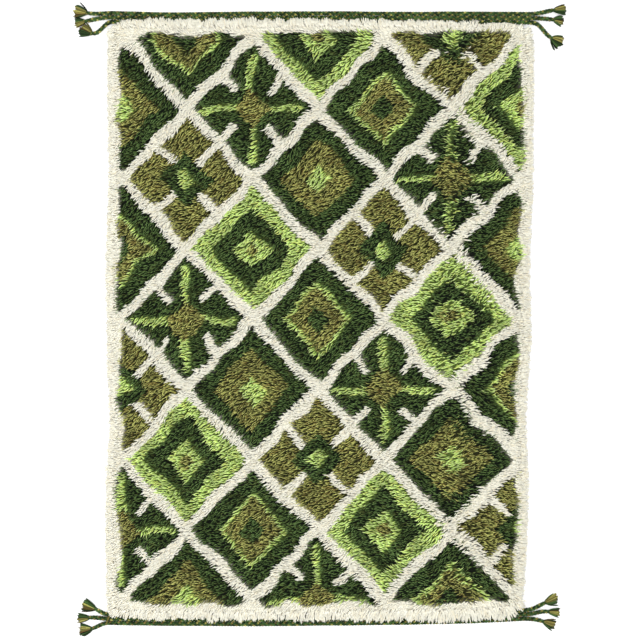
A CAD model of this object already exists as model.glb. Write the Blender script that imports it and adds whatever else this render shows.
import math

import bpy
import numpy as np
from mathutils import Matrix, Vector
from mathutils.bvhtree import BVHTree


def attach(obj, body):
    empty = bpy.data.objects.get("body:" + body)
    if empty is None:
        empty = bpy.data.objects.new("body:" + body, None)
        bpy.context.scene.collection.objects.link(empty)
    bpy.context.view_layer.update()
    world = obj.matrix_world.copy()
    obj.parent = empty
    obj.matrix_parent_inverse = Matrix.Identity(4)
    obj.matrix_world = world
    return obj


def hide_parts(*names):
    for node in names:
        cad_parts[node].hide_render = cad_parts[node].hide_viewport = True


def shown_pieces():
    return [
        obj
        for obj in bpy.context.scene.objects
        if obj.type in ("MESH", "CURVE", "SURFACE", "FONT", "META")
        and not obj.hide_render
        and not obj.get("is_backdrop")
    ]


# A shaggy wool rug with a lozenge design, three flat plaits along each end, and tassels on the plaits.
# Everything is in metres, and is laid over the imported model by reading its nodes.
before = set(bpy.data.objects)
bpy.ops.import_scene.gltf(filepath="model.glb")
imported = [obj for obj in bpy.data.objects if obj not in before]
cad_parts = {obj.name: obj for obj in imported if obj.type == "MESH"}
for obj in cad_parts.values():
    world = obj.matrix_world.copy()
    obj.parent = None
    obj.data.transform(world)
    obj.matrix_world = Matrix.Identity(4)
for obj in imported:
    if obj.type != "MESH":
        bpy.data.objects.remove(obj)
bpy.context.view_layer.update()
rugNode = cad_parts["pile_rug"]
print("frame loaded with", len(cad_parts), "nodes")


# numbers, noise and meshes

def smoothStep(low, high, value):
    share = np.clip((value - low) / (high - low), 0, 1)
    return share * share * (3 - 2 * share)


def waves(x, y, size, seed, count=12):
    # smooth hills and hollows of about one size, mostly between -1.5 and 1.5
    chance = np.random.default_rng(seed)
    turns = chance.uniform(0, 2 * np.pi, count)
    shifts = chance.uniform(0, 2 * np.pi, count)
    stretches = chance.uniform(0.7, 1.4, count)
    total = np.zeros_like(x)
    for turn, shift, stretch in zip(turns, shifts, stretches):
        total += np.sin((x * np.cos(turn) + y * np.sin(turn)) * 2 * np.pi * stretch / size + shift)
    return total / np.sqrt(count / 2)


def unitRows(rows):
    return rows / np.linalg.norm(rows, axis=-1, keepdims=True)


def meshFromArrays(name, points, corners, faceSizes, material, smooth=True):
    # corners are vertex numbers, face after face
    mesh = bpy.data.meshes.new(name)
    mesh.vertices.add(len(points))
    mesh.vertices.foreach_set("co", np.ascontiguousarray(points, np.float32).ravel())
    mesh.loops.add(len(corners))
    mesh.loops.foreach_set("vertex_index", np.ascontiguousarray(corners, np.int32))
    mesh.polygons.add(len(faceSizes))
    starts = np.concatenate([[0], np.cumsum(faceSizes)[:-1]])
    mesh.polygons.foreach_set("loop_start", starts.astype(np.int32))
    mesh.update(calc_edges=True)
    mesh.polygons.foreach_set("use_smooth", np.full(len(faceSizes), smooth))
    mesh.materials.append(material)
    piece = bpy.data.objects.new(name, mesh)
    bpy.context.scene.collection.objects.link(piece)
    return piece


def paintPoints(piece, name, colours, domain="POINT"):
    layer = piece.data.attributes.new(name, "FLOAT_COLOR", domain)
    layer.data.foreach_set("color", np.ascontiguousarray(colours, np.float32).ravel())


def layMap(piece, name, places):
    layer = piece.data.uv_layers.new(name=name)
    layer.data.foreach_set("uv", np.ascontiguousarray(places, np.float32).ravel())


def settle(piece, slotName, *nodes):
    # every piece is fixed to the one body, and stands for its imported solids
    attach(piece, "root")
    if nodes:
        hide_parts(*nodes)
    return piece


# materials

class Wire:
    # a socket that can be written in sums
    def __init__(self, finish, socket):
        self.finish = finish
        self.socket = socket

    def maths(self, operation, first, second):
        return self.finish.node("ShaderNodeMath", {"operation": operation}, {0: first, 1: second})

    def __add__(self, other):
        return self.maths("ADD", self, other)

    def __radd__(self, other):
        return self.maths("ADD", other, self)

    def __mul__(self, other):
        return self.maths("MULTIPLY", self, other)

    def __rmul__(self, other):
        return self.maths("MULTIPLY", other, self)


black = (0, 0, 0, 1)
white = (1, 1, 1, 1)


def linear(colour):
    # 0 to 255 as painted, to the numbers that a shader takes
    parts = [((part / 255 + 0.055) / 1.055) ** 2.4 if part > 10 else part / 255 / 12.92 for part in colour]
    return (*parts, 1)


class Finish:
    # one material, its shader, and one way to add any node to it
    def __init__(self, name, constants):
        self.material = bpy.data.materials.new(name)
        self.material.use_nodes = True
        self.tree = self.material.node_tree
        self.shader = self.tree.nodes["Principled BSDF"]
        for socket, value in constants.items():
            self.shader.inputs[socket].default_value = value

    def node(self, kind, settings=None, sockets=None, output=0):
        made = self.tree.nodes.new(kind)
        for setting, value in (settings or {}).items():
            if setting == "stops":
                self.setStops(made.color_ramp, value)
            else:
                setattr(made, setting, value)
        for place, value in (sockets or {}).items():
            self.feed(made.inputs[place], value)
        return Wire(self, made.outputs[output])

    def setStops(self, ramp, stops):
        while len(ramp.elements) < len(stops):
            ramp.elements.new(0.5)
        for element, (place, colour) in zip(ramp.elements, stops):
            element.position = place
            element.color = colour

    def feed(self, socket, value):
        if isinstance(value, Wire):
            self.tree.links.new(value.socket, socket)
        else:
            socket.default_value = value

    def ramp(self, share, stops):
        return self.node("ShaderNodeValToRGB", {"stops": stops}, {0: share})

    def mix(self, share, first, second):
        return self.node("ShaderNodeMix", {"data_type": "RGBA"}, {0: share, 6: first, 7: second}, 2)

    def brighten(self, colour, factor):
        return self.node("ShaderNodeVectorMath", {"operation": "SCALE"}, {0: colour, "Scale": factor})

    def split(self, kind, whole):
        made = self.node(kind, None, {0: whole})
        return [Wire(self, output) for output in made.socket.node.outputs]

    def kept(self, attribute):
        # what is painted on the mesh
        return self.node("ShaderNodeAttribute", {"attribute_name": attribute})

    def places(self):
        return self.node("ShaderNodeTexCoord", output="Object")

    def sine(self, turn):
        return self.node("ShaderNodeMath", {"operation": "SINE"}, {0: turn})

    def noise(self, scale, detail):
        sockets = {"Vector": self.places(), "Scale": scale, "Detail": detail}
        return self.node("ShaderNodeTexNoise", None, sockets)

    def bump(self, height, strength, distance):
        sockets = {"Strength": strength, "Distance": distance, "Height": height}
        self.feed(self.shader.inputs["Normal"], self.node("ShaderNodeBump", None, sockets))


# camera, light and floor

studio = {
    "cameraHeight": 6.0,
    "pictureWidth": 2.0992,       # metres of floor across the picture
    "centre": (-0.0016, -0.0049),
    "floorColour": (0.90, 0.90, 0.90, 1),
    "floorSize": 14.0,
    "floorHeight": -0.0002,       # just clear of the rug's flat underside
    "skyStrength": 1.53,
    "keySize": 2.6,
    "keyPlace": (-1.7, -1.0, 4.2),
    "keyPower": 66.0,
}


def setStudio():
    scene = bpy.context.scene
    scene.view_settings.view_transform = "Standard"
    lens = bpy.data.cameras.new("overhead")
    lens.sensor_width = 36
    lens.lens = 36 * studio["cameraHeight"] / studio["pictureWidth"]
    camera = bpy.data.objects.new("overhead", lens)
    camera.location = (*studio["centre"], studio["cameraHeight"])
    scene.collection.objects.link(camera)
    scene.camera = camera

    world = bpy.data.worlds.new("studio")
    world.use_nodes = True
    sky = world.node_tree.nodes["Background"]
    sky.inputs["Color"].default_value = (1, 1, 1, 1)
    sky.inputs["Strength"].default_value = studio["skyStrength"]
    scene.world = world

    softBox = bpy.data.lights.new("softBox", "AREA")
    softBox.shape = "DISK"
    softBox.size = studio["keySize"]
    softBox.energy = studio["keyPower"]
    key = bpy.data.objects.new("softBox", softBox)
    key.location = studio["keyPlace"]
    key.rotation_euler = (-Vector(studio["keyPlace"])).to_track_quat("-Z", "Y").to_euler()
    scene.collection.objects.link(key)

    finish = Finish("paleFloor", {"Roughness": 0.9, "Specular IOR Level": 0.1})
    finish.shader.inputs["Base Color"].default_value = studio["floorColour"]
    half = studio["floorSize"] / 2
    square = np.array([(-half, -half), (half, -half), (half, half), (-half, half)])
    square = np.column_stack([square, np.full(4, studio["floorHeight"])])
    floor = meshFromArrays("floor", square, np.arange(4), [4], finish.material, smooth=False)
    floor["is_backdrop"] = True
    return floor


floor = setStudio()
print("camera, light and floor set")


# the rug's outline and height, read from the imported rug

def readOutline():
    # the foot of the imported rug's rim, as two edges along the rug and two across it
    points = np.array([vertex.co for vertex in rugNode.data.vertices])
    ring = np.unique(points[points[:, 2] < 0.0002].round(6), axis=0)
    half = abs(ring).max(axis=0)
    atSide = abs(ring[:, 0]) / half[0] > abs(ring[:, 1]) / half[1]
    edges = {}
    for name, chosen, along, across in (
        ("left", atSide & (ring[:, 0] < 0), 1, 0),
        ("right", atSide & (ring[:, 0] > 0), 1, 0),
        ("foot", ~atSide & (ring[:, 1] < 0), 0, 1),
        ("head", ~atSide & (ring[:, 1] > 0), 0, 1),
    ):
        edge = ring[chosen]
        edge = edge[np.argsort(edge[:, along])]
        edges[name] = (edge[:, along], edge[:, across])
    return edges


outline = readOutline()


def edgeAt(name, place):
    return np.interp(place, *outline[name])


def insets(x, y):
    # how far inside each edge: left, right, foot, head
    fromSides = [x - edgeAt("left", y), edgeAt("right", y) - x]
    fromEnds = [y - edgeAt("foot", x), edgeAt("head", x) - y]
    return np.stack(fromSides + fromEnds)


cornerRadii = {"most": 0.030, "footLeft": 0.014}


def cornerRadiusAt(x, y):
    return np.where((x < 0) & (y < 0), cornerRadii["footLeft"], cornerRadii["most"])


def insetOf(x, y):
    # distance inside the nearest edge, with the corners cut round
    radius = cornerRadiusAt(x, y)
    left, right, foot, head = insets(x, y)
    side = np.minimum(left, right)
    end = np.minimum(foot, head)
    nearest = np.minimum(side, end)
    fromCentre = np.hypot(np.maximum(radius - side, 0), np.maximum(radius - end, 0))
    return np.minimum(nearest, radius - fromCentre + np.maximum(nearest - radius, 0))


def pileTops(x, y):
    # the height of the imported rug's top, straight down onto it
    tree = BVHTree.FromObject(rugNode, bpy.context.evaluated_depsgraph_get())
    down = Vector((0, 0, -1))
    heights = np.empty(len(x))
    for number, (px, py) in enumerate(zip(x, y)):
        hit = tree.ray_cast(Vector((px, py, 0.2)), down)[0]
        heights[number] = hit.z if hit else 0
    return heights


# the woven design

design = {
    "width": 0.43,            # of a lozenge
    "length": 0.46,
    "channel": 0.100,         # half a cream channel, as a share of the way into a lozenge
    "border": 0.030,          # cream strip all round
    "borderUnevenness": 0.006,
    "unevenness": 0.005,
    "bars": 0.034,            # half the width of the cream bars in two of the lozenges
    "barEnd": 0.5,            # as a share of the way in
    "rays": 0.05,             # half the width of a star's rays
    "rayStart": 0.2,
    # the outermost wool of each of the five lozenges
    "bodies": (1, 2, 1, 3, 1),
    # for each of the five lozenges, the wool that starts at each share of the way in
    "rings": (
        ((0.46, 3), (0.54, 2), (0.80, 1)),
        ((0.60, 1), (0.84, 3)),
        ((0.70, 2),),
        ((0.38, 1), (0.70, 3), (0.88, 2)),
        ((0.42, 2), (0.78, 3)),
    ),
}
woolNames = ("cream", "dark", "olive", "light")


def woolAt(x, y):
    # 0 cream, 1 dark green, 2 olive, 3 light green
    inset = insetOf(x, y)
    x = x + design["unevenness"] * waves(x, y, 0.16, 31)
    y = y + design["unevenness"] * waves(x, y, 0.16, 32)
    across = x / design["width"]
    along = y / design["length"]
    column = np.round(across + along)
    row = np.round(across - along)
    first = across + along - column
    second = across - along - row
    inward = 1 - 2 * np.maximum(abs(first), abs(second))
    kind = (column + 2 * row).astype(int) % 5
    wool = np.array(design["bodies"])[kind]
    bars = np.minimum(abs(first), abs(second)) < design["bars"]
    rays = np.minimum(abs(first + second), abs(first - second)) < design["rays"]
    wool[(kind == 2) & rays & (inward > design["rayStart"])] = 3
    wool[(kind == 2) & bars & (inward < design["barEnd"])] = 0
    wool[(kind == 1) & bars] = 0
    for number, rings in enumerate(design["rings"]):
        for start, ringWool in rings:
            wool[(kind == number) & (inward > start)] = ringWool
    wool[inward < design["channel"]] = 0
    wool[inset < design["border"] + design["borderUnevenness"] * waves(x, y, 0.15, 33)] = 0
    return wool


# wool of the pile

# pitch, run and ruffle are in metres; gap darkens the ground between the tufts
pileWools = {
    "cream": {
        "slot": "cream_wool",
        "pitch": 0.0063, "girth": 1.22, "run": 0.0185, "ruffle": 0.0006, "flatness": 0.42,
        "root": (252, 245, 222), "body": (236, 231, 209), "tip": (214, 210, 190),
        "stray": (228, 216, 184), "strays": 0.18, "evenness": 0.985,
        "sheen": 0.25, "specular": 0.08, "gap": 0.78, "glow": 0.45,
    },
    "dark": {
        "slot": "dark_green_wool",
        "pitch": 0.0068, "girth": 0.76, "run": 0.0195, "ruffle": 0.0062, "flatness": 0.85,
        "root": (3, 5, 2), "body": (36, 50, 28), "tip": (110, 138, 79),
        "stray": (78, 84, 44), "strays": 0.12, "evenness": 0.55,
        "sheen": 0.0, "specular": 0.06, "gap": 0.18, "glow": 0.0,
    },
    "olive": {
        "slot": "olive_wool",
        "pitch": 0.0069, "girth": 0.78, "run": 0.0195, "ruffle": 0.0062, "flatness": 0.85,
        "root": (7, 8, 3), "body": (102, 105, 51), "tip": (204, 205, 121),
        "stray": (122, 104, 52), "strays": 0.20, "evenness": 0.60,
        "sheen": 0.02, "specular": 0.08, "gap": 0.18, "glow": 0.0,
    },
    "light": {
        "slot": "light_green_wool",
        "pitch": 0.0074, "girth": 1.05, "run": 0.0200, "ruffle": 0.0048, "flatness": 0.80,
        "root": (70, 98, 33), "body": (166, 195, 96), "tip": (207, 226, 151),
        "stray": (196, 204, 108), "strays": 0.20, "evenness": 0.70,
        "sheen": 0.04, "specular": 0.10, "gap": 0.25, "glow": 0.0,
    },
}


def ofWool(key, wool):
    # a value of each tuft's own wool
    return np.array([pileWools[name][key] for name in woolNames])[wool]


def pileFinish(name, wool):
    constants = {
        "Specular IOR Level": wool["specular"],
        "Sheen Weight": wool["sheen"],
        "Sheen Roughness": 0.5,
        "Subsurface Weight": wool["glow"],      # light that passes through pale yarn
        "Subsurface Radius": (1.0, 0.9, 0.75),
        "Subsurface Scale": 0.006,
    }
    finish = Finish(name, constants)
    rise, shade, warmth = finish.split("ShaderNodeSeparateColor", finish.kept("tuft"))
    stops = [(0.28, linear(wool["root"])), (0.58, linear(wool["body"])), (0.95, linear(wool["tip"]))]
    colour = finish.ramp(rise, stops)
    # some tufts are spun from another lot of wool
    most = 1 - wool["strays"]
    stray = finish.ramp(warmth, [(most - 0.08, black), (most + 0.08, white)])
    strayColour = finish.brighten(linear(wool["stray"])[:3], 0.35 + rise * 0.95)
    colour = finish.mix(stray * 0.65, colour, strayColour)
    fibres = finish.noise(1100, 3)
    evenness = wool["evenness"]
    factor = (evenness + shade * 2 * (1 - evenness)) * (0.9 + fibres * 0.2)
    finish.feed(finish.shader.inputs["Base Color"], finish.brighten(colour, factor))
    finish.feed(finish.shader.inputs["Roughness"], 0.84 + fibres * 0.16)
    finish.bump(fibres, 0.35, 0.0006)
    return finish.material


# tufts

pile = {
    "unevenness": 0.30,       # of the tufts' places, as a share of the pitch
    "nap": 200,               # the way that the pile lies, in degrees
    "napTurns": (-17, 12),    # and how much more at a metre to the right, and to the head
    "turning": (0.32, 0.60),  # from where to where across the rug the tufts turn the other way
    "runUnevenness": 0.20,
    "bodyRadius": 0.0021,
    "crownRadius": 0.0018,
    "bend": 0.26,             # where along its run a tuft bends over
    "bendHeight": 0.72,
    "crown": 0.66,            # and where it is highest but for its tip
    "rimCrown": 0.84,         # the same for the tufts that lie over at the rim
    "crownHeight": 0.96,
    "clump": 0.0026,
    "raggedness": 0.0028,     # of the pile's line over the plaits
    "eavePitch": 0.0034,      # between the added tufts along the edges
    "eaveInsets": ((0.0008, 0.0060), (0.0050, 0.0150)),
    "sideReach": 0.0175,
    "footLeftReach": 0.7045,  # how far from the middle the tips reach at the full corner
    # how far from the middle the tips reach over the plaits: place across, foot, head
    "reachLines": (
        (-0.70, 0.960, 0.943), (-0.68, 0.975, 0.962), (-0.66, 0.985, 0.979), (-0.60, 0.990, 0.984),
        (-0.45, 0.987, 0.984), (-0.36, 0.993, 0.983), (-0.20, 0.991, 0.984), (-0.05, 0.993, 0.983),
        (0.05, 0.993, 0.984), (0.20, 0.995, 0.981), (0.35, 0.998, 0.978), (0.45, 0.998, 0.974),
        (0.55, 0.995, 0.968), (0.61, 0.989, 0.967), (0.64, 0.972, 0.964), (0.67, 0.948, 0.954),
    ),
    "mostTriangles": 190000,  # in one piece
    "seed": 11,
}


# the felted foot of the pile
felt = {
    "sideHeight": 0.0040,
    "rise": 0.0065,           # from the sides inward
    "creamRise": 0.0095,      # and more under cream
    "around": 0.007,          # how far off the wool is looked at
}


def creamAround(x, y):
    # how much of the wool close by is cream, from 0 to 1
    steps = [(0, 0)]
    for turn in np.arange(8) * math.pi / 4:
        steps.append((felt["around"] * math.cos(turn), felt["around"] * math.sin(turn)))
    return np.mean([woolAt(x + right, y + up) == 0 for right, up in steps], axis=0)


def groundHeights(x, y):
    left, right, foot, head = insets(x, y)
    fromSide = np.minimum(left, right)
    fromEdge = np.minimum(fromSide, np.minimum(foot, head))
    underCream = smoothStep(0.32, 0.82, creamAround(x, y)) * smoothStep(0.001, 0.012, fromEdge)
    height = felt["sideHeight"] + felt["rise"] * smoothStep(-0.002, 0.030, fromSide)
    return height + felt["creamRise"] * underCream


def lattice(step, chance):
    # rows set half a step apart, with every place a little off
    rows = np.arange(-1.0, 1.0, step * math.sqrt(3) / 2)
    columns = np.arange(-0.72, 0.72, step)
    x = np.concatenate([columns + step / 2 * (number % 2) for number in range(len(rows))])
    y = np.repeat(rows, len(columns))
    slip = step * pile["unevenness"]
    return x + slip * chance.uniform(-1, 1, len(x)), y + slip * chance.uniform(-1, 1, len(y))


def eaves(chance):
    # more tufts close along all four edges, in two rows
    across = np.arange(-0.68, 0.68, pile["eavePitch"])
    along = np.arange(-0.96, 0.96, pile["eavePitch"])
    short = len(across)
    x, y = [], []
    for near, far in pile["eaveInsets"]:
        inward = chance.uniform(near, far, (4, len(along)))
        x += [across, across, edgeAt("left", along) + inward[2], edgeAt("right", along) - inward[3]]
        y += [edgeAt("foot", across) + inward[0, :short], edgeAt("head", across) - inward[1, :short]]
        y += [along, along]
    return np.concatenate(x), np.concatenate(y)


def placeTufts(chance):
    # every wool has its own pitch; the edges are cream
    found = []
    for number, name in enumerate(woolNames):
        x, y = lattice(pileWools[name]["pitch"], chance)
        if number == 0:
            more = eaves(chance)
            x, y = np.append(x, more[0]), np.append(y, more[1])
        kept = (insetOf(x, y) > 0.0008) & (woolAt(x, y) == number)
        found.append(np.stack([x[kept], y[kept], np.full(kept.sum(), number)]))
    x, y, wool = np.concatenate(found, axis=1)
    return x, y, wool.astype(int)


def leanOf(x, y, chance):
    # the nap wanders over the rug, and turns outward near every edge
    turnAcross, turnAlong = pile["napTurns"]
    angle = np.radians(pile["nap"] + turnAcross * x + turnAlong * y)
    angle += 0.17 * waves(x, y, 0.34, 3) + 0.14 * waves(x, y, 0.10, 4)
    # towards the right of the rug, more and more tufts point the other way
    angle += np.pi * (chance.uniform(0, 1, len(x)) < smoothStep(*pile["turning"], x))
    lean = np.stack([np.cos(angle), np.sin(angle)], 1)
    outward = np.array([(-1, 0), (1, 0), (0, -1), (0, 1)])
    pulls = np.exp(-np.maximum(insets(x, y), 0) / 0.032)
    pull = np.clip(pulls.max(axis=0), 0, 1)[:, None]
    lean = lean * (1 - pull) + (pulls.T @ outward) * 1.25
    jitter = chance.normal(0, 0.15, len(x))
    angle = np.arctan2(lean[:, 1], lean[:, 0]) + jitter
    return np.stack([np.cos(angle), np.sin(angle)], 1)


def tuftShapes(x, y, wool, chance):
    # the root, bend, crown and tip of every tuft, and which way it leans
    count = len(x)
    lean = leanOf(x, y, chance)
    left, right, footEnd, headEnd = insets(x, y)
    side = np.minimum(left, right)
    end = np.minimum(footEnd, headEnd)
    foot = groundHeights(x, y)
    rise = pileTops(x, y) - foot + ofWool("ruffle", wool) * chance.uniform(-0.85, 0.15, count)
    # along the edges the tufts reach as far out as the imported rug's locks do
    across, footLine, headLine = np.array(pile["reachLines"]).T
    line = np.where(footEnd < headEnd, np.interp(x, across, footLine), np.interp(x, across, headLine))
    line = line + pile["raggedness"] * waves(x, y * 0, 0.036, 7)
    atSide = smoothStep(0.024, 0.002, side)
    atEnd = smoothStep(0.024, 0.002, end)
    run = ofWool("run", wool) * (1 + pile["runUnevenness"] * chance.normal(0, 1, count).clip(-1.8, 1.8))
    edgeShare = chance.uniform(0.84, 1.05, count)
    fullCorner = np.where((x < 0) & (y < -0.88), pile["footLeftReach"] - abs(x), 0)
    sideRun = np.maximum(pile["sideReach"] + side, fullCorner)
    run = run * (1 - atSide) + sideRun * edgeShare * atSide
    run = run * (1 - atEnd) + (line - abs(y)) * edgeShare * atEnd
    run = run * (1 + 0.30 * atSide * atEnd)
    crownPlace = pile["crown"] + (pile["rimCrown"] - pile["crown"]) * np.maximum(atSide, atEnd)

    # at the rim the tufts lie over, so their tips hang lower than where they bend
    droop = 0.0105 * smoothStep(0.028, 0.0, side)
    droop = np.maximum(droop, 0.0085 * atEnd)

    root = np.stack([x, y, foot - 0.0008], 1)
    ahead = np.concatenate([lean, np.zeros((count, 1))], 1)
    aside = np.stack([-lean[:, 1], lean[:, 0], np.zeros(count)], 1)
    upward = np.array([0, 0, 1.0])
    drift = np.stack([waves(x, y, 0.024, 5), waves(x, y, 0.024, 6), np.zeros(count)], 1) * pile["clump"]
    curl = chance.normal(0, 0.0012, (count, 3))

    def pointAt(share, height, hang, number):
        share = np.full(count, share)[:, None]
        point = root + ahead * run[:, None] * share + drift * share ** 2
        point = point + aside * curl[:, number:number + 1]
        return point + upward * (rise * height - droop * hang)[:, None]

    bend = pointAt(pile["bend"], pile["bendHeight"], 0.12, 0)
    crown = pointAt(crownPlace, pile["crownHeight"], 0.55, 1)
    tip = pointAt(1.0, 1.0, 1.0, 2)
    # no tip sinks into the plaits or the floor
    overPlaits = smoothStep(0.034, 0.028, end)
    lowest = 0.0028 + 0.0090 * overPlaits
    crown[:, 2] = np.maximum(crown[:, 2], lowest + 0.0012)
    tip[:, 2] = np.maximum(tip[:, 2], lowest)
    return root, bend, crown, tip, aside


def ringAcross(centre, radius, spine, aside, flatness):
    # three points round a tuft, the first on its ridge
    ridge = unitRows(np.cross(aside, spine))
    ridge *= np.sign(ridge[:, 2:])
    sideways = np.cross(ridge, spine)
    turns = [2 * math.pi * number / 3 for number in range(3)]
    return [
        centre + radius[:, None] * (math.cos(turn) * flatness * ridge - math.sin(turn) * sideways)
        for turn in turns
    ]


def tuftMap(count):
    # one square cell of the map for each tuft, its three sides next to each other
    side = [0.03, 0.345, 0.655, 0.97]
    places = []
    for near, far in zip(side[:-1], side[1:]):
        places += [((near + far) / 2, 0.03), (far, 0.34), (near, 0.34)]
    for near, far in zip(side[:-1], side[1:]):
        places += [(near, 0.34), (far, 0.34), (far, 0.66), (near, 0.66)]
    for near, far in zip(side[:-1], side[1:]):
        places += [(near, 0.66), (far, 0.66), ((near + far) / 2, 0.97)]
    cells = math.ceil(math.sqrt(count))
    number = np.arange(count)
    corner = np.stack([number % cells, number // cells], 1)
    return ((corner[:, None, :] + np.array(places)[None]) / cells).reshape(-1, 2)


def tuftMesh(name, material, flatness, root, bend, crown, tip, aside, girth, shade, warmth):
    # a spindle: a point at the root, a ring where it bends, a ring at its crown, and the tip
    count = len(root)
    middle = ringAcross(bend, girth * pile["bodyRadius"], unitRows(crown - root), aside, flatness)
    upper = ringAcross(crown, girth * pile["crownRadius"], unitRows(tip - bend), aside, flatness)
    points = np.stack([root, *middle, *upper, tip], 1).reshape(-1, 3)
    pairs = [(0, 1), (1, 2), (2, 0)]
    corners = []
    for here, after in pairs:
        corners += [0, 1 + after, 1 + here]
    for here, after in pairs:
        corners += [1 + here, 1 + after, 4 + after, 4 + here]
    for here, after in pairs:
        corners += [4 + here, 4 + after, 7]
    corners = (np.arange(count)[:, None] * 8 + np.array(corners)[None]).ravel()
    piece = meshFromArrays(name, points, corners, np.tile([3, 3, 3, 4, 4, 4, 3, 3, 3], count), material)
    up = np.tile([0, 0.42, 0.42, 0.42, 0.80, 0.80, 0.80, 1.0], count)
    paint = np.stack([up, np.repeat(shade, 8), np.repeat(warmth, 8), np.ones(count * 8)], 1)
    paintPoints(piece, "tuft", paint)
    layMap(piece, "OFBake", tuftMap(count))
    return piece


def makePile():
    chance = np.random.default_rng(pile["seed"])
    x, y, wool = placeTufts(chance)
    count = len(x)
    girth = ofWool("girth", wool) * chance.uniform(0.85, 1.15, count)
    shapes = tuftShapes(x, y, wool, chance)
    patch = 0.5 + 0.16 * waves(x, y, 0.13, 21) + 0.10 * waves(x, y, 0.03, 22)
    shade = np.clip(patch + chance.normal(0, 0.20, count), 0, 1)
    warmth = np.clip(chance.uniform(0, 1, count) + 0.10 * waves(x, y, 0.05, 23), 0, 1)
    shares = [round(float((wool == number).mean()), 3) for number in range(4)]
    print("pile:", count, "tufts, shares of cream, dark, olive and light", shares)
    made = []
    for number, name in enumerate(woolNames):
        material = pileFinish(name + "PileWool", pileWools[name])
        chosen = np.flatnonzero(wool == number)
        # a wool with many tufts, of twelve triangles each, is made in two or more lengths of the rug
        lots = math.ceil(len(chosen) * 12 / pile["mostTriangles"])
        chosen = chosen[np.argsort(y[chosen])]
        for lot, members in enumerate(np.array_split(chosen, lots)):
            arrays = [part[members] for part in (*shapes, girth, shade, warmth)]
            piece = tuftMesh(f"{name}Pile{lot + 1}", material, pileWools[name]["flatness"], *arrays)
            settle(piece, pileWools[name]["slot"])
            made.append(piece)
    return made


pilePieces = makePile()
print("pile made in", len(pilePieces), "pieces")


# woven ground under the pile

ground = {
    "columns": 90,
    "rows": 124,
    "flat": (1.37, 1.92),         # woven size
    "knotWidth": 0.0098,
    "knotLength": 0.0088,
}


def groundFinish():
    finish = Finish("knottedGround", {"Roughness": 0.95, "Specular IOR Level": 0.2, "Sheen Weight": 0.1})
    x, y, _ = finish.split("ShaderNodeSeparateXYZ", finish.places())
    across = finish.sine(x * (2 * math.pi / ground["knotWidth"]))
    along = finish.sine(y * (2 * math.pi / ground["knotLength"]))
    relief = across * 0.35 + along * 0.65
    fibres = finish.noise(900, 3)
    colour = finish.brighten(finish.kept("knots"), (0.86 + relief * 0.14) * (0.8 + fibres * 0.4))
    finish.feed(finish.shader.inputs["Base Color"], colour)
    finish.bump(relief + fibres * 0.4, 0.5, 0.0012)
    return finish.material


def roundCorners(x, y):
    # what lies outside a round corner is drawn in to it
    radius = cornerRadiusAt(x, y)
    left, right, foot, head = insets(x, y)
    aside = np.maximum(radius - np.minimum(left, right), 0) * np.where(left < right, -1, 1)
    ahead = np.maximum(radius - np.minimum(foot, head), 0) * np.where(foot < head, -1, 1)
    distance = np.maximum(np.hypot(aside, ahead), 1e-9)
    inCorner = (aside != 0) & (ahead != 0) & (distance > radius)
    shrink = np.where(inCorner, 1 - radius / distance, 0)
    return x - aside * shrink, y - ahead * shrink


def makeGround():
    columns, rows = ground["columns"], ground["rows"]
    across, along = np.meshgrid(np.linspace(0, 1, columns + 1), np.linspace(0, 1, rows + 1))
    across, along = across.ravel(), along.ravel()
    y = -0.98 + 1.96 * along
    for _ in range(3):
        x = edgeAt("left", y) * (1 - across) + edgeAt("right", y) * across
        y = edgeAt("foot", x) * (1 - along) + edgeAt("head", x) * along
    x, y = roundCorners(x, y)
    top = np.stack([x, y, groundHeights(x, y)], 1)
    bottom = np.stack([x, y, np.zeros(len(x))], 1)
    points = np.concatenate([top, bottom])
    stride, layer = columns + 1, len(x)
    first = (np.arange(rows)[:, None] * stride + np.arange(columns)[None]).ravel()
    upper = np.stack([first, first + 1, first + 1 + stride, first + stride], 1)
    lower = upper[:, ::-1] + layer
    footEdge = np.arange(columns + 1)
    rightEdge = columns + np.arange(rows + 1) * stride
    headEdge = (rows * stride + np.arange(columns + 1))[::-1]
    leftEdge = (np.arange(rows + 1) * stride)[::-1]
    loop = np.concatenate([footEdge[:-1], rightEdge[:-1], headEdge[:-1], leftEdge[:-1]])
    after = np.roll(loop, -1)
    rim = np.stack([loop + layer, after + layer, after, loop], 1)
    faces = np.concatenate([upper, lower, rim])
    piece = meshFromArrays("wovenGround", points, faces.ravel(), np.full(len(faces), 4), groundFinish())

    shades = np.array([linear(pileWools[name]["body"]) for name in woolNames])
    middleX, middleY, _ = points[faces].mean(axis=1).T
    knots = np.repeat(shades[woolAt(middleX, middleY)], 4, axis=0)
    # on top, between the tufts, the wools run into each other and only the cream stays pale
    gaps = np.array([pileWools[name]["gap"] for name in woolNames])[:, None]
    shaded = np.append(shades[:, :3] * gaps, shades[:, 3:], axis=1)
    wool = woolAt(x, y)
    pale = smoothStep(0.60, 0.95, creamAround(x, y))[:, None]
    between = shaded[0] * pale + shaded[np.where(wool == 0, 1, wool)] * (1 - pale)
    knots[: upper.size] = between[upper.ravel()]
    paintPoints(piece, "knots", knots, "CORNER")
    settle(piece, "cream_wool", "pile_rug")
    return piece


wovenGround = makeGround()
print("woven ground made")


# yarn tubes for plaits and tassels

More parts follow.
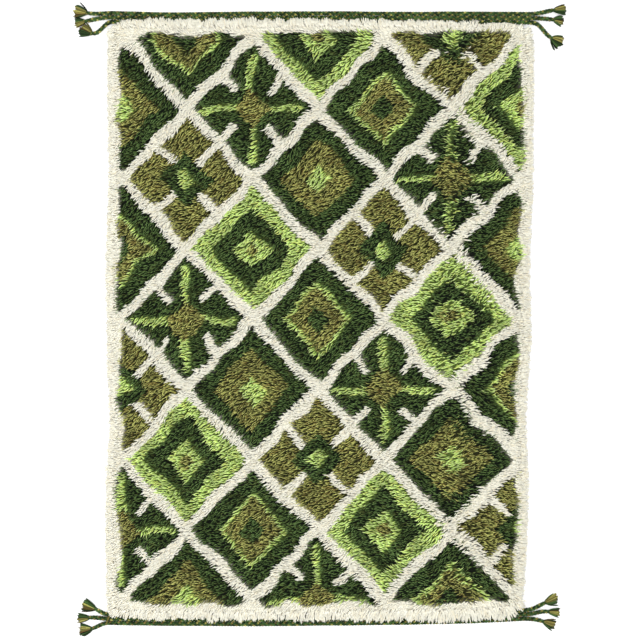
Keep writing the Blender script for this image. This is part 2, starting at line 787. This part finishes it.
def tubePoints(paths, radii, sides, flatness):
    # rings round each path; paths is tube by point by xyz
    ahead = unitRows(np.gradient(paths, axis=1))
    upward = np.broadcast_to(np.array([0, 0, 1.0]), ahead.shape)
    aside = unitRows(np.cross(upward, ahead) + np.array([1e-9, 0, 0]))[:, :, None]
    above = np.cross(ahead, aside[:, :, 0])[:, :, None]
    turns = (2 * math.pi * np.arange(sides) / sides)[None, None, :, None]
    around = np.cos(turns) * aside * flatness + np.sin(turns) * above
    return paths[:, :, None] + radii[:, :, None, None] * around


def tubeMesh(name, material, paths, radii, sides, paint, flatness=1.0):
    # closed tubes of one length each, with flat ends
    tubes, steps = paths.shape[:2]
    points = tubePoints(paths, radii, sides, flatness)
    quads = []
    for side in range(sides):
        after = (side + 1) % sides
        quads.append([side, after, sides + after, sides + side])
    near = (np.arange(tubes)[:, None] * steps + np.arange(steps - 1)[None]).ravel() * sides
    quads = near[:, None, None] + np.array(quads)[None]
    starts = np.arange(tubes)[:, None] * steps * sides
    nearCaps = starts + np.arange(sides)[::-1]
    farCaps = starts + (steps - 1) * sides + np.arange(sides)
    caps = np.concatenate([nearCaps, farCaps])
    corners = np.concatenate([quads.ravel(), caps.ravel()])
    sizes = np.concatenate([np.full(quads.shape[0] * sides, 4), np.full(len(caps), sides)])
    piece = meshFromArrays(name, points.reshape(-1, 3), corners, sizes, material)
    paintPoints(piece, "yarn", np.repeat(paint.reshape(-1, 4), sides, axis=0))

    # the map: a strip for each side of each tube, and the ends in a row above them
    lanes = tubes * sides
    lane = np.arange(tubes)[:, None, None] * sides + np.arange(sides)[None, None]
    step = np.arange(steps - 1)[None, :, None]
    left, right = step / (steps - 1), (step + 1) / (steps - 1)
    low, high = 0.96 * (lane + 0.06) / lanes, 0.96 * (lane + 0.94) / lanes
    shape = (tubes, steps - 1, sides)
    box = [np.broadcast_to(part, shape) for part in (left, right, low, high)]
    sidesMap = np.stack([box[0], box[2], box[0], box[3], box[1], box[3], box[1], box[2]], -1).reshape(-1, 2)
    turns = 2 * math.pi * np.arange(sides) / sides
    circle = np.stack([np.cos(turns), np.sin(turns)], 1)
    spots = (np.arange(len(caps)) + 0.5) / len(caps)
    reach = np.array([0.4 / len(caps), 0.014])
    capsMap = np.stack([spots, np.full(len(caps), 0.98)], 1)[:, None] + circle[None] * reach
    layMap(piece, "OFBake", np.concatenate([sidesMap, capsMap.reshape(-1, 2)]))

    # and how the yarn is spun: along it in metres, and once round it
    lengths = np.concatenate([[0], np.cumsum(np.linalg.norm(np.diff(paths[0], axis=0), axis=1))])
    start = np.broadcast_to(lengths[:-1][None, :, None], shape)
    stop = np.broadcast_to(lengths[1:][None, :, None], shape)
    near = np.broadcast_to(np.arange(sides)[None, None] / sides, shape)
    far = near + 1 / sides
    spun = np.stack([start, near, start, far, stop, far, stop, near], -1).reshape(-1, 2)
    layMap(piece, "spun", np.concatenate([spun, np.zeros((caps.size, 2))]))
    return piece


# each with its place in the yarns' ramp
yarns = {
    "deep green": (0.0, (22, 36, 16)),
    "green": (0.25, (44, 66, 32)),
    "bright green": (0.5, (70, 98, 50)),
    "brown": (0.62, (84, 68, 36)),
    "deep olive": (0.8, (114, 106, 54)),
    "olive": (1.0, (160, 158, 86)),
}


def yarnFinish(name, pliesPerMetre):
    # a yarn keeps its place in the ramp, its shade, and how near the top it lies
    finish = Finish(name, {"Specular IOR Level": 0.12, "Sheen Weight": 0.02, "Sheen Roughness": 0.5})
    tone, shade, depth = finish.split("ShaderNodeSeparateColor", finish.kept("yarn"))
    colour = finish.ramp(tone, [(place, linear(paint)) for place, paint in yarns.values()])
    spun = finish.node("ShaderNodeUVMap", {"uv_map": "spun"})
    along, around, _ = finish.split("ShaderNodeSeparateXYZ", spun)
    twist = finish.sine(along * (2 * math.pi * pliesPerMetre) + around * (4 * math.pi))
    fibres = finish.noise(1300, 3)
    factor = (0.40 + shade * 1.2) * (0.78 + twist * 0.14 + fibres * 0.3) * (0.35 + depth * 0.65)
    finish.feed(finish.shader.inputs["Base Color"], finish.brighten(colour, factor))
    finish.feed(finish.shader.inputs["Roughness"], 0.82 + fibres * 0.16)
    finish.bump(twist * 0.6 + fibres * 0.4, 0.5, 0.0007)
    return finish.material


# plaits

plaitShape = {
    "period": 0.0285,         # one strand comes back to the same edge
    "steps": 9,               # points in a period
    "sides": 5,
    "swing": 0.0040,
    "lift": 0.0019,
    "strandRadius": 0.0030,
    "flatness": 1.22,         # of a strand, its width over its height
    "height": 0.0050,         # of its middle above the floor
    "neck": 0.020,            # length over which the ends narrow
    "ridge": 0.0088,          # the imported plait's top points are higher than this
}
plaitYarn = yarnFinish("plaitYarn", 190)


def centreLine(node):
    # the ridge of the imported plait, evened out into short steps
    points = np.array([vertex.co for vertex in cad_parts[node].data.vertices])
    ridge = points[points[:, 2] > plaitShape["ridge"]]
    middles = {}
    for point in ridge:
        middles.setdefault(round(point[0], 3), []).append(point)
    line = np.array([np.mean(group, axis=0) for _, group in sorted(middles.items())])[:, :2]
    travel = np.concatenate([[0], np.cumsum(np.linalg.norm(np.diff(line, axis=0), axis=1))])
    count = int(travel[-1] / plaitShape["period"] * plaitShape["steps"])
    places = np.linspace(0, travel[-1], count)
    even = np.stack([np.interp(places, travel, line[:, 0]), np.interp(places, travel, line[:, 1])], 1)
    for _ in range(3):
        even[1:-1] = (even[:-2] + 2 * even[1:-1] + even[2:]) / 4
    return places, even


def makePlait(node, seed):
    places, line = centreLine(node)
    chance = np.random.default_rng(seed)
    ahead = unitRows(np.gradient(line, axis=0))
    aside = np.stack([-ahead[:, 1], ahead[:, 0]], 1)
    fromEnd = np.minimum(places, places[-1] - places)
    fullness = 0.62 + 0.38 * smoothStep(0, plaitShape["neck"], fromEnd)
    start = chance.uniform(0, 2 * math.pi)
    tension = 1 + 0.05 * waves(places, places * 0, 0.12, seed)
    paths, paint = [], []
    for strand in range(3):
        turn = 2 * math.pi * (places / plaitShape["period"] + strand / 3) + start
        swing = plaitShape["swing"] * fullness * tension * np.sin(turn)
        lift = plaitShape["lift"] * np.sin(2 * turn)
        flat = line + aside * swing[:, None]
        paths.append(np.column_stack([flat, plaitShape["height"] + lift]))
        depth = np.clip(0.5 + 0.5 * lift / plaitShape["lift"] + 0.25, 0, 1)
        tone = 0.24 + 0.13 * waves(places, places * 0 + strand, 0.05, seed + 7)
        if strand == 0:
            # one strand holds olive yarn, which comes to the surface at the plait's edges
            olive = 0.94 - 0.22 * smoothStep(0.3, 1.2, waves(places, places * 0, 0.16, seed + 9))
            shown = smoothStep(0.45, 0.75, abs(np.sin(turn)))
            tone = tone * (1 - shown) + olive * shown
        shade = np.clip(0.5 + 0.2 * waves(places, places * 0 + strand, 0.02, seed + 8), 0, 1)
        paint.append(np.stack([np.clip(tone, 0, 1), shade, depth, np.ones(len(places))], 1))
    radii = np.full((3, len(places)), plaitShape["strandRadius"]) * (0.85 + 0.15 * fullness)
    piece = tubeMesh(
        node.replace("plait_", "plait."), plaitYarn, np.array(paths), radii,
        plaitShape["sides"], np.array(paint), plaitShape["flatness"],
    )
    return settle(piece, "plait_wool", node)


plaitNodes = sorted(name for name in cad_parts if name.startswith("plait_"))
plaitPieces = [makePlait(node, 40 + number) for number, node in enumerate(plaitNodes)]
print("plaits made:", len(plaitPieces))


# tassels

tasselShape = {
    "strands": 48,
    "steps": 6,
    "sides": 4,
    "strandRadius": 0.0018,
    "neckRadius": 0.0042,
    "setBack": 0.0095,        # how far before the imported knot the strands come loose
    "spread": 1.22,           # of the fan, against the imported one
    "leastWidth": 0.0165,     # half of a narrow fan's width
    "layers": 3,
    "oliveShares": (0.20, 0.55),
    "bundles": 10,            # strands that stay together, of one shade and length
    "trims": (0.20, 0.08),    # how uneven the bundles are cut, and the strands in one bundle
    "loose": 3,               # strands that stand away from the others
    "wraps": 2,
    "wrapRadius": 0.0009,
    "wrapWidth": 0.0050,      # half of the width that they go round
}
tasselYarn = yarnFinish("tasselYarn", 260)


def readTassel(node):
    # the knot, the way the fan points, its spread and how far it reaches
    points = np.array([vertex.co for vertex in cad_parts[node].data.vertices])
    knot = np.unique(points[points[:, 2] > 0.0070].round(5), axis=0)[:, :2].mean(axis=0)
    away = points[:, :2] - knot
    far = np.linalg.norm(away, axis=1) > 0.018
    reach = np.linalg.norm(away[far], axis=1)
    middle = away[far].mean(axis=0)
    aim = math.atan2(middle[1], middle[0])
    turns = np.arctan2(away[far][:, 1], away[far][:, 0]) - aim
    turns = (turns + math.pi) % (2 * math.pi) - math.pi
    return knot, aim, turns.min(), turns.max(), reach.max()


def makeTassel(node, seed):
    knot, aim, first, last, reach = readTassel(node)
    shape = tasselShape
    chance = np.random.default_rng(seed)
    count = shape["strands"]
    share = (np.arange(count) + chance.uniform(0, 1, count)) / count
    layer = np.arange(count) % shape["layers"]
    bundle = np.minimum(share * shape["bundles"], shape["bundles"] - 0.01).astype(int)
    gathered = share * 0.45 + (bundle + 0.5) / shape["bundles"] * 0.55
    spread = max(shape["spread"], 2 * math.asin(shape["leastWidth"] / reach) / (last - first))
    turn = spread * (first + (last - first) * gathered) + chance.normal(0, 0.03, count)
    bundleTrim, strandTrim = shape["trims"]
    trim = bundleTrim * chance.uniform(0, 1, shape["bundles"])[bundle]
    trim += strandTrim * chance.uniform(0, 1, count)
    length = reach * (1.05 - trim - 0.06 * abs(share - 0.5))
    loose = chance.choice(count, shape["loose"], replace=False)
    turn[loose] += 0.22 * np.sign(turn[loose])
    length[loose] = reach * chance.uniform(0.98, 1.10, shape["loose"])
    along = np.linspace(0, 1, shape["steps"])
    # strands leave the plait close together, swell out at once and then lie down
    forward = (length * np.cos(turn) + shape["setBack"])[:, None] * along[None] - shape["setBack"]
    aside = (length * np.sin(turn))[:, None] * along[None] ** 0.72
    aside += (share - 0.5)[:, None] * 2 * shape["neckRadius"] * (1 - along[None])
    px = knot[0] + forward * math.cos(aim) - aside * math.sin(aim)
    py = knot[1] + forward * math.sin(aim) + aside * math.cos(aim)
    neckHeight = 0.0020 + 0.0016 * layer[:, None] + 0.0006
    tipHeight = 0.0012 + 0.0015 * layer[:, None]
    billow = 0.0022 * np.sin(math.pi * along)[None]
    pz = neckHeight * (1 - along[None]) + tipHeight * along[None] + billow * (0.4 + 0.3 * layer[:, None])
    paths = np.stack([px, py, pz], -1)
    swell = 0.85 + 0.25 * np.sin(math.pi * along * 0.8)
    radii = shape["strandRadius"] * chance.uniform(0.85, 1.15, (count, 1)) * swell[None]
    radii[:, -1] *= 0.45

    # one bundle of the plait comes out olive, next to it some brown, and the rest green
    oliveShare = chance.uniform(*shape["oliveShares"])
    oliveStart = chance.uniform(0, 1 - oliveShare)
    olive = (share > oliveStart) & (share < oliveStart + oliveShare)
    brown = (share > oliveStart + oliveShare) & (share < oliveStart + oliveShare + 0.12)
    tone = np.where(olive, chance.uniform(0.72, 1.0, count), chance.uniform(0.0, 0.5, count))
    tone = np.where(brown, 0.62, tone)
    shade = chance.permutation(np.linspace(0.0, 1.0, shape["bundles"]))[bundle]
    shade = np.clip(shade + chance.normal(0, 0.15, count), 0, 1)
    depth = 0.55 + 0.45 * along[None] * np.ones((count, 1))
    depth = depth * (0.72 + 0.14 * layer[:, None])
    paint = np.stack([tone[:, None] + 0 * depth, shade[:, None] + 0 * depth, depth, 1 + 0 * depth], -1)
    fan = tubeMesh(node.replace("tassel_", "tassel."), tasselYarn, paths, radii, shape["sides"], paint)
    settle(fan, "tassel_wool", node)

    # a turn or two of yarn holds the plait's end
    steps = 12 * shape["wraps"]
    circling = np.linspace(0, 2 * math.pi * shape["wraps"], steps)
    across = shape["wrapWidth"] * np.cos(circling)
    forward = np.linspace(-0.0020, 0.0012, steps) - shape["setBack"]
    tie = np.stack(
        [
            knot[0] + forward * math.cos(aim) - across * math.sin(aim),
            knot[1] + forward * math.sin(aim) + across * math.cos(aim),
            0.0047 + 0.0034 * np.sin(circling),
        ],
        -1,
    )[None]
    tone = np.full((1, steps), 0.22)
    paint = np.stack([tone, tone * 0 + 0.5, tone * 0 + 0.9, tone * 0 + 1], -1)
    radii = np.full((1, steps), shape["wrapRadius"])
    wrap = tubeMesh(node.replace("tassel_", "tie."), tasselYarn, tie, radii, 6, paint)
    settle(wrap, "tassel_wool")
    return fan


tasselNodes = sorted(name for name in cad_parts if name.startswith("tassel_"))
tasselPieces = [makeTassel(node, 60 + number) for number, node in enumerate(tasselNodes)]
print("tassels made:", len(tasselPieces))


# two turns of yarn over the plaits at the foot's left corner

cornerWrap = {
    "radius": 0.0012,
    "apart": 0.0024,
    "steps": 26,
    "path": (
        (-0.6895, -0.970, 0.004), (-0.6925, -0.978, 0.0128), (-0.6975, -0.988, 0.0136),
        (-0.7005, -0.998, 0.0128), (-0.7040, -1.004, 0.004),
    ),
}


def makeCornerWrap():
    places = np.linspace(0, 1, cornerWrap["steps"])
    knots = np.linspace(0, 1, len(cornerWrap["path"]))
    line = np.stack([np.interp(places, knots, part) for part in np.array(cornerWrap["path"]).T], 1)
    for _ in range(4):
        line[1:-1] = (line[:-2] + 2 * line[1:-1] + line[2:]) / 4
    half = cornerWrap["apart"] / 2
    paths = np.stack([line + np.array([half, 0, 0]), line - np.array([half, 0, 0])])
    paint = np.broadcast_to(np.array([0.80, 0.40, 0.95, 1.0]), (*paths.shape[:2], 4))
    radii = np.full(paths.shape[:2], cornerWrap["radius"])
    piece = tubeMesh("cornerWrap", tasselYarn, paths, radii, 6, paint)
    return settle(piece, "tassel_wool")


makeCornerWrap()
print("corner wrap made")


# sizes and the hand-over

added = [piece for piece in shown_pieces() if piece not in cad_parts.values()]
triangles = {piece.name: sum(len(face.vertices) - 2 for face in piece.data.polygons) for piece in added}
print("triangles:", sum(triangles.values()), "in all, most in one piece", max(triangles.values()))
